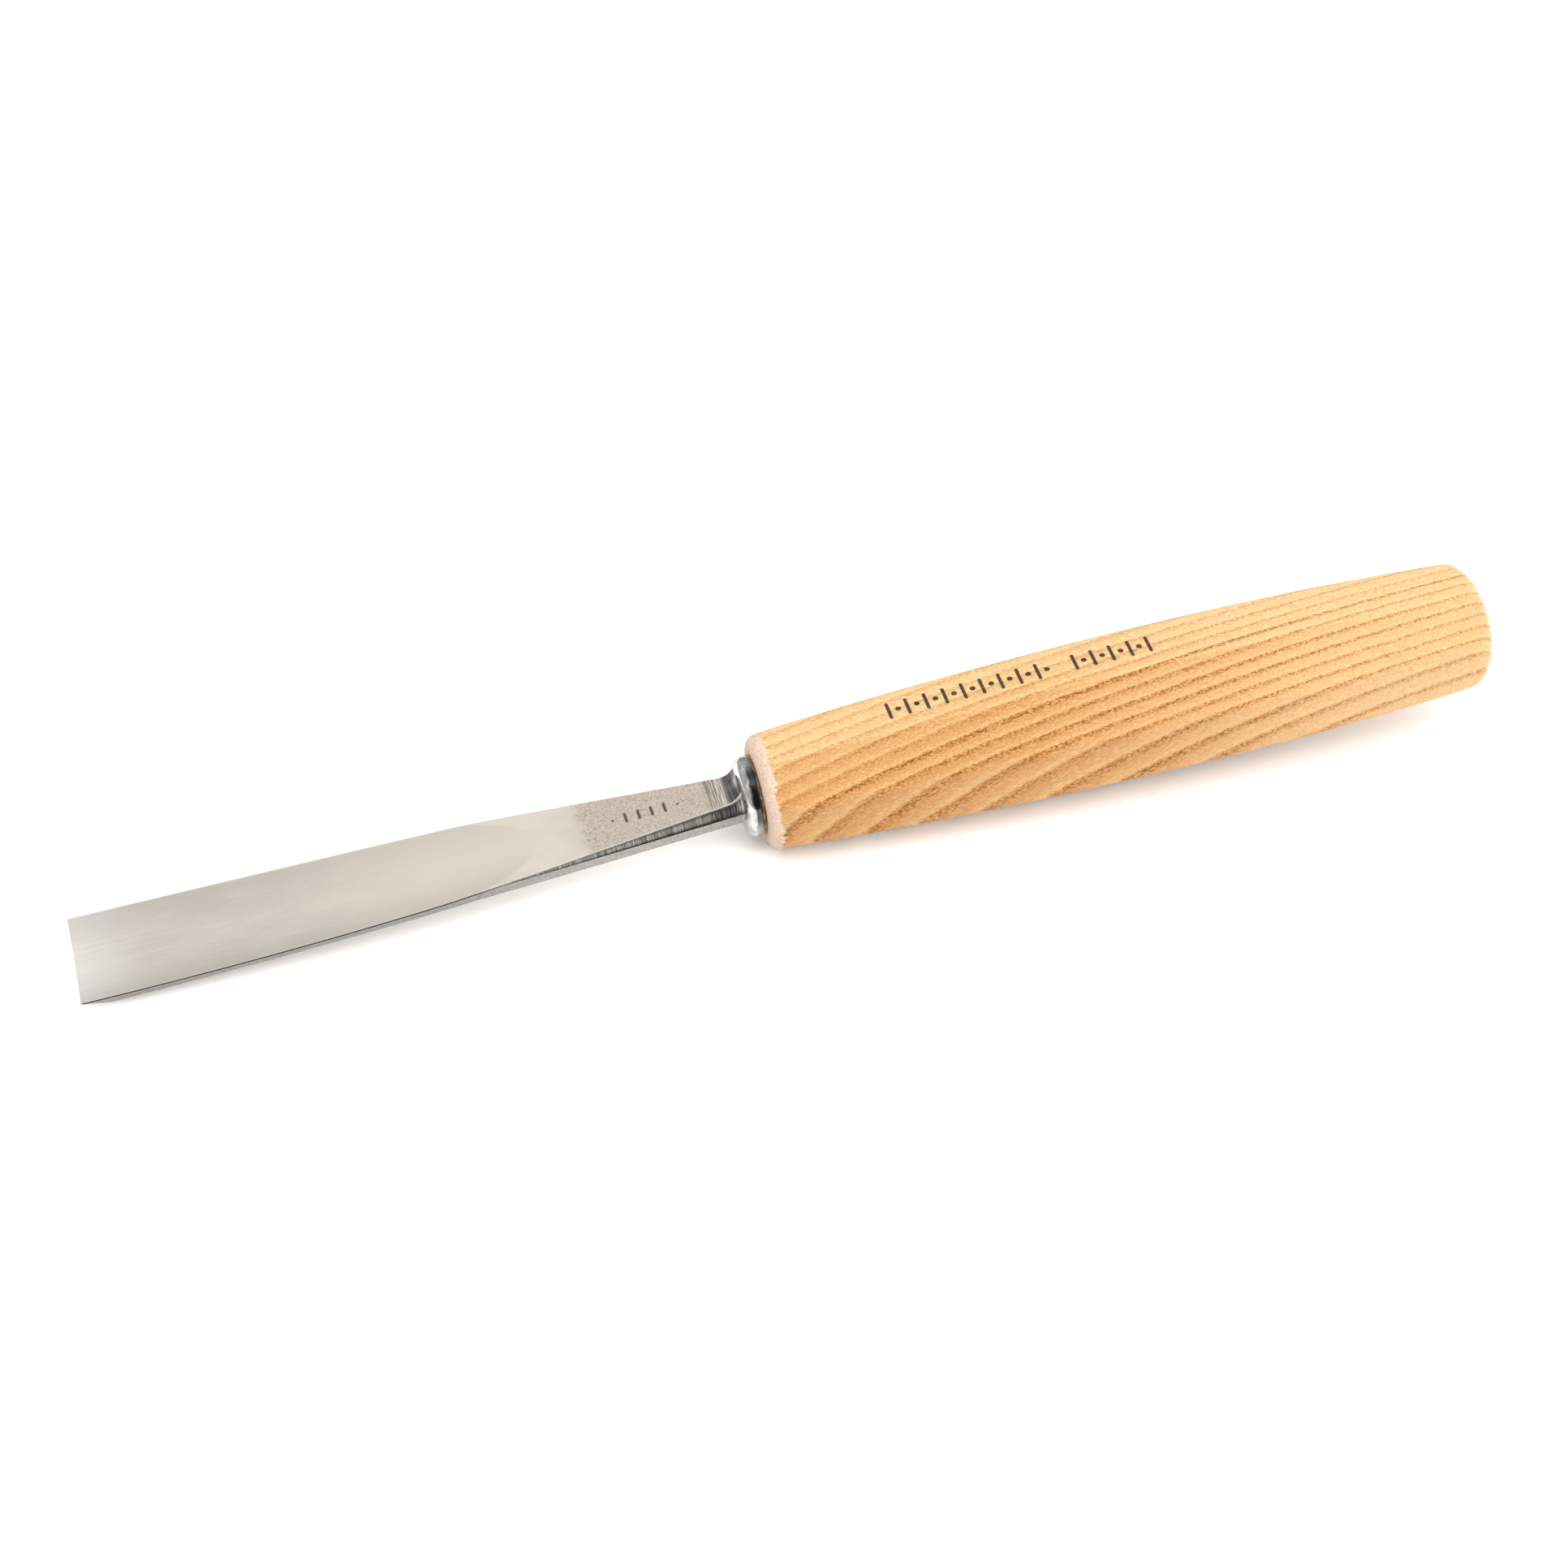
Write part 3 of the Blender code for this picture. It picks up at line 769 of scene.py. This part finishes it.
def ash():
    """Ash under thin lacquer: porous dark spring wood, smooth pale summer wood, and a printed row."""
    summer = ((0.53, 0.30, 0.115), (0.47, 0.25, 0.086))
    first_rings = (0.57, 0.375, 0.175)
    butt_tone_and_light = (0.59, 0.41, 0.215)
    season_end = (0.64, 0.45, 0.215)
    light_thread = (0.70, 0.51, 0.27)
    dark_thread = (0.42, 0.21, 0.06)
    spring_wood = ((0.42, 0.185, 0.036), (0.33, 0.13, 0.02))
    dull = (0.38, 0.18, 0.05)
    lit_vessel = (0.66, 0.44, 0.20)
    open_pore = (0.215, 0.082, 0.014)
    bare_wood = ((0.52, 0.42, 0.355), (0.41, 0.30, 0.235))
    printed = (0.016, 0.008, 0.005)
    painted_side_shade = (0.855, 0.77, 0.69)
    painted_low_shade = (0.93, 0.935, 0.92)
    lacquer_tint = (0.86, 0.865, 0.88)

    n = Nodes("ash_lacquered")
    fibre = (0.0, 0.3, 0.2)  # the fibres run a little askew to the handle: radians about X, Y and Z
    rings = n.attribute("growth_rings")
    turned = n.attribute("turned_front")
    x, y, z = n.axes()

    # Growth rings with frayed borders: season runs from 0 to 1 within each year
    sway = n.noise((0.03, 0.12, 0.12))
    fray = n.noise((0.5, 1.8, 1.8), 2.0, 0.5, fibre)
    tatter = n.noise((1.6, 4.5, 4.5), 2.0, 0.6, fibre)
    bent = n.scaled(sway, 0.3, n.scaled(fray, 0.16, n.math("ADD", rings, RING_SHIFT)))
    bent = n.scaled(tatter, 0.28, bent)
    season = n.math("FRACT", bent)
    year = n.math("FLOOR", bent)

    # How broad and dark each year's spring wood is
    chance = n.add("TexWhiteNoise", {"W": year}, noise_dimensions="1D").outputs["Value"]
    vigour = n.scaled(chance, 0.25, n.remap(rings, -5.5, 1.0, 0.15, 0.7))
    vigour = n.scaled(n.math("COMPARE", year, 0.0, 0.5), 0.3, vigour)
    vigour = n.scaled(n.math("COMPARE", year, -1.0, 0.5), -0.2, vigour)
    vigour = n.times(vigour, n.remap(x, 185.0, 235.0, 1.0, 0.65))
    onset = n.remap(season, 0.0, 0.13)
    sooner = n.times(season, n.remap(x, 180.0, 235.0, 1.0, 1.35))
    spring = n.times(onset, n.remap(sooner, 0.12, 0.55, 1.0, 0.0), vigour)
    cream = n.remap(season, 0.6, 0.98)

    streaks = n.noise((0.15, 3.5, 3.5), 4.0, 0.6, fibre)
    threads = n.noise((0.12, 5.5, 5.5), 3.0, 0.6, fibre)
    tone = n.noise((0.03, 0.1, 0.1))
    mottle = n.noise((2.0, 3.0, 3.0), 3.0, 0.7)
    vessels = n.noise((1.5, 4.0, 4.0), 1.0, 0.5, fibre)
    pore = n.times(n.remap(vessels, 0.52, 0.58), n.scaled(spring, 0.9, 0.1))
    glint = n.times(n.remap(vessels, 0.36, 0.44, 1.0, 0.0), n.scaled(spring, 0.8, 0.2))

    color = n.mix(n.remap(tone, 0.35, 0.65), *summer)
    color = n.mix(n.remap(rings, -4.5, -0.5), first_rings, color)
    # Lighter towards the butt: partly the wood's own tone, partly painted light for the brighter lighting
    # there
    color = n.mix(n.remap(x, 155.0, 215.0, 0.0, 0.75), color, butt_tone_and_light)
    color = n.mix(n.times(cream, 0.65), color, season_end)
    color = n.mix(n.remap(threads, 0.48, 0.68, 0.0, 0.6), color, light_thread)
    color = n.mix(n.remap(threads, 0.34, 0.5, 0.4, 0.0), color, dark_thread)
    color = n.mix(n.times(spring, 0.85), color, n.mix(streaks, *spring_wood))
    color = n.mix(n.remap(mottle, 0.42, 0.66, 0.0, 0.3), color, dull)
    color = n.mix(n.times(glint, 0.55), color, lit_vessel)
    color = n.mix(pore, color, open_pore)

    # Painted shade: beside the top flat the wood is darker, less so towards the butt, and low at the
    # front darker still
    side_shade = n.times(n.attribute("off_top"), n.remap(x, 185.0, 230.0, 1.0, 0.5))
    color = n.tint(side_shade, color, painted_side_shade)
    low = n.times(n.remap(z, 2.0, 6.0, 1.0, 0.0), n.remap(x, 115.0, 170.0, 1.0, 0.0))
    color = n.tint(low, color, painted_low_shade)
    color = n.tint(1.0, color, lacquer_tint)

    # The turned front end is pale and matt, up to a ragged border
    ragged = n.noise((0.5, 0.55, 0.55), 5.0, 0.75)
    pale = n.remap(n.scaled(ragged, 2.4, turned), 1.62, 1.85)
    color = n.mix(n.times(pale, 0.85), color, n.mix(n.remap(mottle, 0.35, 0.65), *bare_wood))

    row = printed_row(n, x, y)
    ink = n.times(row, n.remap(z, *PRINTED_ABOVE), n.remap(mottle, 0.3, 0.42, 0.75, 1.0))
    color = n.mix(n.times(ink, 0.97), color, printed)

    rough = n.scaled(pore, 0.25, 0.42)
    rough = n.blend(pale, rough, 0.7)
    height = n.scaled(pore, -1.0, n.scaled(streaks, 0.25))
    lacquer = {"Specular_IOR_Level": 0.25, "Coat_Weight": 0.05, "Coat_Roughness": 0.3}
    return n.finish(color, rough, height, WOOD_RELIEF, **lacquer)


def printed_row(n, x, y):
    """1 in a plain printed row of upright bars with a dot between each two, in two groups."""
    across = n.math("ABSOLUTE", n.math("SUBTRACT", y, PRINT_LINE))
    along = n.math("PINGPONG", n.math("SUBTRACT", x, PRINT_START), PRINT_STEP / 2)
    past_bar = n.math("MAXIMUM", n.math("SUBTRACT", across, PRINT_HALF_HEIGHT), 0.0)
    to_bar = n.math("SQRT", n.math("ADD", n.times(along, along), n.times(past_bar, past_bar)))
    from_dot = n.math("SUBTRACT", PRINT_STEP / 2, along)
    to_dot = n.math("SQRT", n.math("ADD", n.times(from_dot, from_dot), n.times(across, across)))
    bar = n.remap(to_bar, PRINT_STROKE - PRINT_BLUR, PRINT_STROKE + PRINT_BLUR, 1.0, 0.0)
    dot = n.remap(to_dot, PRINT_DOT - PRINT_BLUR, PRINT_DOT + PRINT_BLUR, 1.0, 0.0)
    mark = n.math("MAXIMUM", bar, dot)
    within = []
    for start, end in PRINT_GROUPS:
        begun = n.math("GREATER_THAN", x, start)
        within.append(n.times(begun, n.math("LESS_THAN", x, end)))
    return n.times(mark, n.math("MAXIMUM", *within))


# ---------------------------------------------------------------- the pieces


def forging_materials():
    """The steel's materials by zone, in the order of their slots."""
    return {
        "top": satin_top(),
        "facet": ground_facet(),
        "flank": forged_steel("forged_flank", (0.42, 0.39, 0.36), (0.17, 0.157, 0.143), 1.0, LINES_ALONG),
        "back": forged_steel("ground_back", (0.68, 0.65, 0.61), (0.50, 0.47, 0.43), 0.3, LINES_ALONG),
        "bevel": forged_steel("honed_bevel", (0.72, 0.70, 0.67), (0.64, 0.62, 0.58), 0.0, LINES_ACROSS),
        "tang": forged_steel("black_tang", (0.20, 0.19, 0.18), (0.10, 0.09, 0.08), 0.6, LINES_ALONG),
    }


def make_forging():
    """Blade, shank, bolster and tang in one skin, with a material for each zone."""
    rings = [[(x, *point) for point in steel_ring(x)] for x in stations(*STEEL_SPANS)]
    last = steel_ring(BOLSTER_REAR)
    for x in stations((BOLSTER_REAR, TANG_END, TANG_STEPS)):
        rings.append([(x, *point) for point in tang_ring(x, last)])
    bm = skin([[point[:3] for point in ring] for ring in rings], close_first=False)
    bm.faces.ensure_lookup_table()
    points = [point for ring in rings for point in ring]
    for face, point in zip(bm.faces, points[len(rings[0]) :]):
        face.material_index = ZONES.index(point[3])
    close_cutting_edge(bm, len(rings[0]))
    piece = add_piece("gouge_steel", bm, SHARP_ON_STEEL)
    set_attribute(piece.data, "polish", [point[4] for point in points])
    marks = [stamped(x, y) if z > 0 else 0.0 for x, y, z, _, _ in points]
    set_attribute(piece.data, "stamped", marks)
    set_attribute(piece.data, "arris", [arris_highlight(*point[:3]) for point in points])
    set_attribute(piece.data, "across", [across_facet(point[0], point[2]) for point in points])
    set_attribute(piece.data, "channel", [in_channel(*point[:2]) for point in points])
    materials = forging_materials()
    for zone in ZONES:
        piece.data.materials.append(materials[zone])
    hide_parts("gouge_forging")
    return piece


def make_handle():
    """The barrel with its turned ends, and the bore with the seat of the ferrule."""
    angles = handle_angles()
    bore_corner = TANG_HALF_FRONT * math.sqrt(2) + BORE_PLAY
    bore_tip = TANG_HALF_END * math.sqrt(2) + BORE_PLAY
    round_part = [
        (BORE_END, POINT_RADIUS),
        (BORE_END, bore_tip),
        (FERRULE_SEAT_END, bore_corner - BORE_TAPER),
        (FERRULE_SEAT_END, FERRULE_SEAT),
        (HANDLE_FRONT + SEAT_CHAMFER, FERRULE_SEAT),
        (HANDLE_FRONT, FERRULE_SEAT + SEAT_CHAMFER),
        (HANDLE_FRONT, FRONT_FACE_RADIUS),
    ]
    rings = []
    for x, radius in round_part:
        rings.append([(x, -radius * math.sin(a), radius * math.cos(a)) for a in angles])
    turned = [TURNED_FACE if x == HANDLE_FRONT else 0.0 for x, _ in round_part for _ in angles]
    off_top = [smooth_step(abs(math.remainder(a, math.tau)), *TOP_FLAT_EDGE) for a in angles]
    for x, limit in envelope():
        ring = []
        for a in angles:
            radius = soft_min(barrel_radius(x, a), limit, BARREL_EASE)
            ring.append((x, -radius * math.sin(a), radius * math.cos(a)))
            turned.append(1 - smooth_step(x, *TURNED_END))
        rings.append(ring)
    rings.append([(BUTT_CROWN, -POINT_RADIUS * math.sin(a), POINT_RADIUS * math.cos(a)) for a in angles])
    turned += [0.0] * len(angles)
    piece = add_piece("ash_barrel", skin(rings), SHARP_ON_WOOD)
    flat = [point for ring in rings for point in ring]
    set_attribute(piece.data, "growth_rings", [growth_ring(*point) for point in flat])
    set_attribute(piece.data, "turned_front", turned)
    set_attribute(piece.data, "off_top", off_top * len(rings))
    piece.data.materials.append(ash())
    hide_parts("ash_handle")
    return piece


def dress_ferrule():
    """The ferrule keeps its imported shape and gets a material."""
    ferrule = frame["nodes"]["inner_ferrule"]
    material = forged_steel("turned_ferrule", (0.6, 0.6, 0.6), (0.44, 0.44, 0.44), 0.2, TURNED_LINES)
    ferrule.data.materials.clear()
    ferrule.data.materials.append(material)


# ---------------------------------------------------------------- floor, light and camera


FLOOR_HALF = 2.0  # metres
FLOOR_COLOR = (0.93, 0.925, 0.92, 1)


def make_floor():
    """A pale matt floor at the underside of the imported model."""
    bm = bmesh.new()
    bmesh.ops.create_grid(bm, x_segments=8, y_segments=8, size=FLOOR_HALF)
    mesh = bpy.data.meshes.new("floor")
    bm.to_mesh(mesh)
    bm.free()
    floor = bpy.data.objects.new("floor", mesh)
    bpy.context.scene.collection.objects.link(floor)
    floor.location.z = CAD_BOX[0].z
    material = bpy.data.materials.new("pale_floor")
    material.use_nodes = True
    shader = material.node_tree.nodes["Principled BSDF"]
    shader.inputs["Base Color"].default_value = FLOOR_COLOR
    shader.inputs["Roughness"].default_value = 0.9
    mesh.materials.append(material)


# What the steel mirrors: brightness at angles up from the horizon behind, over the top, to the front
TENT = [(0, 0.45), (22, 0.9), (43, 1.2), (63, 0.98), (84, 0.8), (102, 1.5), (132, 0.9), (180, 0.6)]
TENT_COLOR = (1.0, 0.99, 0.975, 1)
DARK_SIDE = Vector((0.05, -0.85, 0.52)).normalized()  # where the camera and its stand keep light out
DARK_SIDE_EDGE = (0.67, 0.93)  # cosines of the angles at which it begins and is whole
DARK_SIDE_COVER = 0.8

# A dark screen in front, off the butt end, which the bolster's rim mirrors: it fades in along X and Y
SCREEN_ALONG = (0.3, 0.5)
SCREEN_ACROSS = (0.0, 0.4)
SCREEN_COVER = 0.88

# Soft boxes light the floor and the wood but aren't mirrored: (direction, metres away, size, watts)
SOFT_BOXES = [
    (Vector((0.0, -0.25, 1.0)), 1.4, 1.2, 15.5),
    (Vector((0.1, 0.8, 0.6)), 1.4, 1.2, 3.5),
    (Vector((-0.95, -0.2, 0.27)), 1.4, 0.8, 8.0),
    (Vector((0.85, -0.1, 0.55)), 1.4, 1.2, 9.0),
    (Vector((0.5, -0.75, 0.5)), 1.2, 0.8, 13.5),
]


def light_studio():
    """A white tent with a dark patch and a dark screen in front, and soft boxes that aren't mirrored."""
    world = bpy.data.worlds.new("studio")
    world.use_nodes = True
    tree = world.node_tree

    def node(kind, inputs, **settings):
        made = tree.nodes.new("ShaderNode" + kind)
        for key, value in settings.items():
            setattr(made, key, value)
        for key, value in inputs.items():
            if isinstance(value, bpy.types.NodeSocket):
                tree.links.new(value, made.inputs[key])
            else:
                made.inputs[key].default_value = value
        return made

    def fade(value, edge, before, after):
        inputs = {0: value, 1: edge[0], 2: edge[1], 3: before, 4: after}
        return node("MapRange", inputs, interpolation_type="SMOOTHSTEP").outputs[0]

    direction = node("TexCoord", {}).outputs["Generated"]
    x, y, z = node("SeparateXYZ", {0: direction}).outputs
    angle = node("Math", {0: z, 1: y}, operation="ARCTAN2").outputs[0]
    share = node("Math", {0: angle, 1: math.pi}, operation="DIVIDE").outputs[0]
    ramp = node("ValToRGB", {"Fac": share})
    ramp.color_ramp.interpolation = "EASE"
    while len(ramp.color_ramp.elements) < len(TENT):
        ramp.color_ramp.elements.new(0.5)
    for element, (degrees, brightness) in zip(ramp.color_ramp.elements, TENT):
        element.position = degrees / 180
        element.color = (brightness, brightness, brightness, 1)
    facing = node("VectorMath", {0: direction, 1: DARK_SIDE}, operation="DOT_PRODUCT").outputs["Value"]
    dimmed = fade(facing, DARK_SIDE_EDGE, 1.0, 1 - DARK_SIDE_COVER)
    sideways = fade(x, SCREEN_ALONG, 0.0, SCREEN_COVER)
    in_front = fade(y, SCREEN_ACROSS, 1.0, 0.0)
    screen = node("Math", {0: sideways, 1: in_front}, operation="MULTIPLY").outputs[0]
    unscreened = node("Math", {0: 1.0, 1: screen}, operation="SUBTRACT").outputs[0]
    strength = node("Math", {0: ramp.outputs[0], 1: dimmed}, operation="MULTIPLY").outputs[0]
    strength = node("Math", {0: strength, 1: unscreened}, operation="MULTIPLY").outputs[0]
    tree.links.new(strength, tree.nodes["Background"].inputs["Strength"])
    tree.nodes["Background"].inputs["Color"].default_value = TENT_COLOR
    bpy.context.scene.world = world
    bpy.context.scene.view_settings.view_transform = "Standard"

    for towards, distance, size, watts in SOFT_BOXES:
        data = bpy.data.lights.new("soft_box", "AREA")
        data.size = size
        data.energy = watts
        box = bpy.data.objects.new("soft_box", data)
        box.location = towards.normalized() * distance
        box.rotation_euler = towards.to_track_quat("Z", "Y").to_euler()
        box.visible_glossy = False
        bpy.context.scene.collection.objects.link(box)


CAMERA_PLACE = (-0.10174, -0.40981, 0.40099)  # metres
CAMERA_TURN = (47.217, 1.374, -14.943)  # degrees about X, Y and Z
CAMERA_LENS = 79.86
CAMERA_FILM = 36
CAMERA_NEAR = 0.05


def place_camera():
    """The view from above the near side, towards the far side."""
    data = bpy.data.cameras.new("camera")
    data.lens = CAMERA_LENS
    data.sensor_width = CAMERA_FILM
    data.clip_start = CAMERA_NEAR
    camera = bpy.data.objects.new("camera", data)
    camera.location = CAMERA_PLACE
    camera.rotation_euler = Euler([math.radians(angle) for angle in CAMERA_TURN])
    bpy.context.scene.collection.objects.link(camera)
    bpy.context.scene.camera = camera


make_forging()
make_handle()
dress_ferrule()
make_floor()
light_studio()
place_camera()
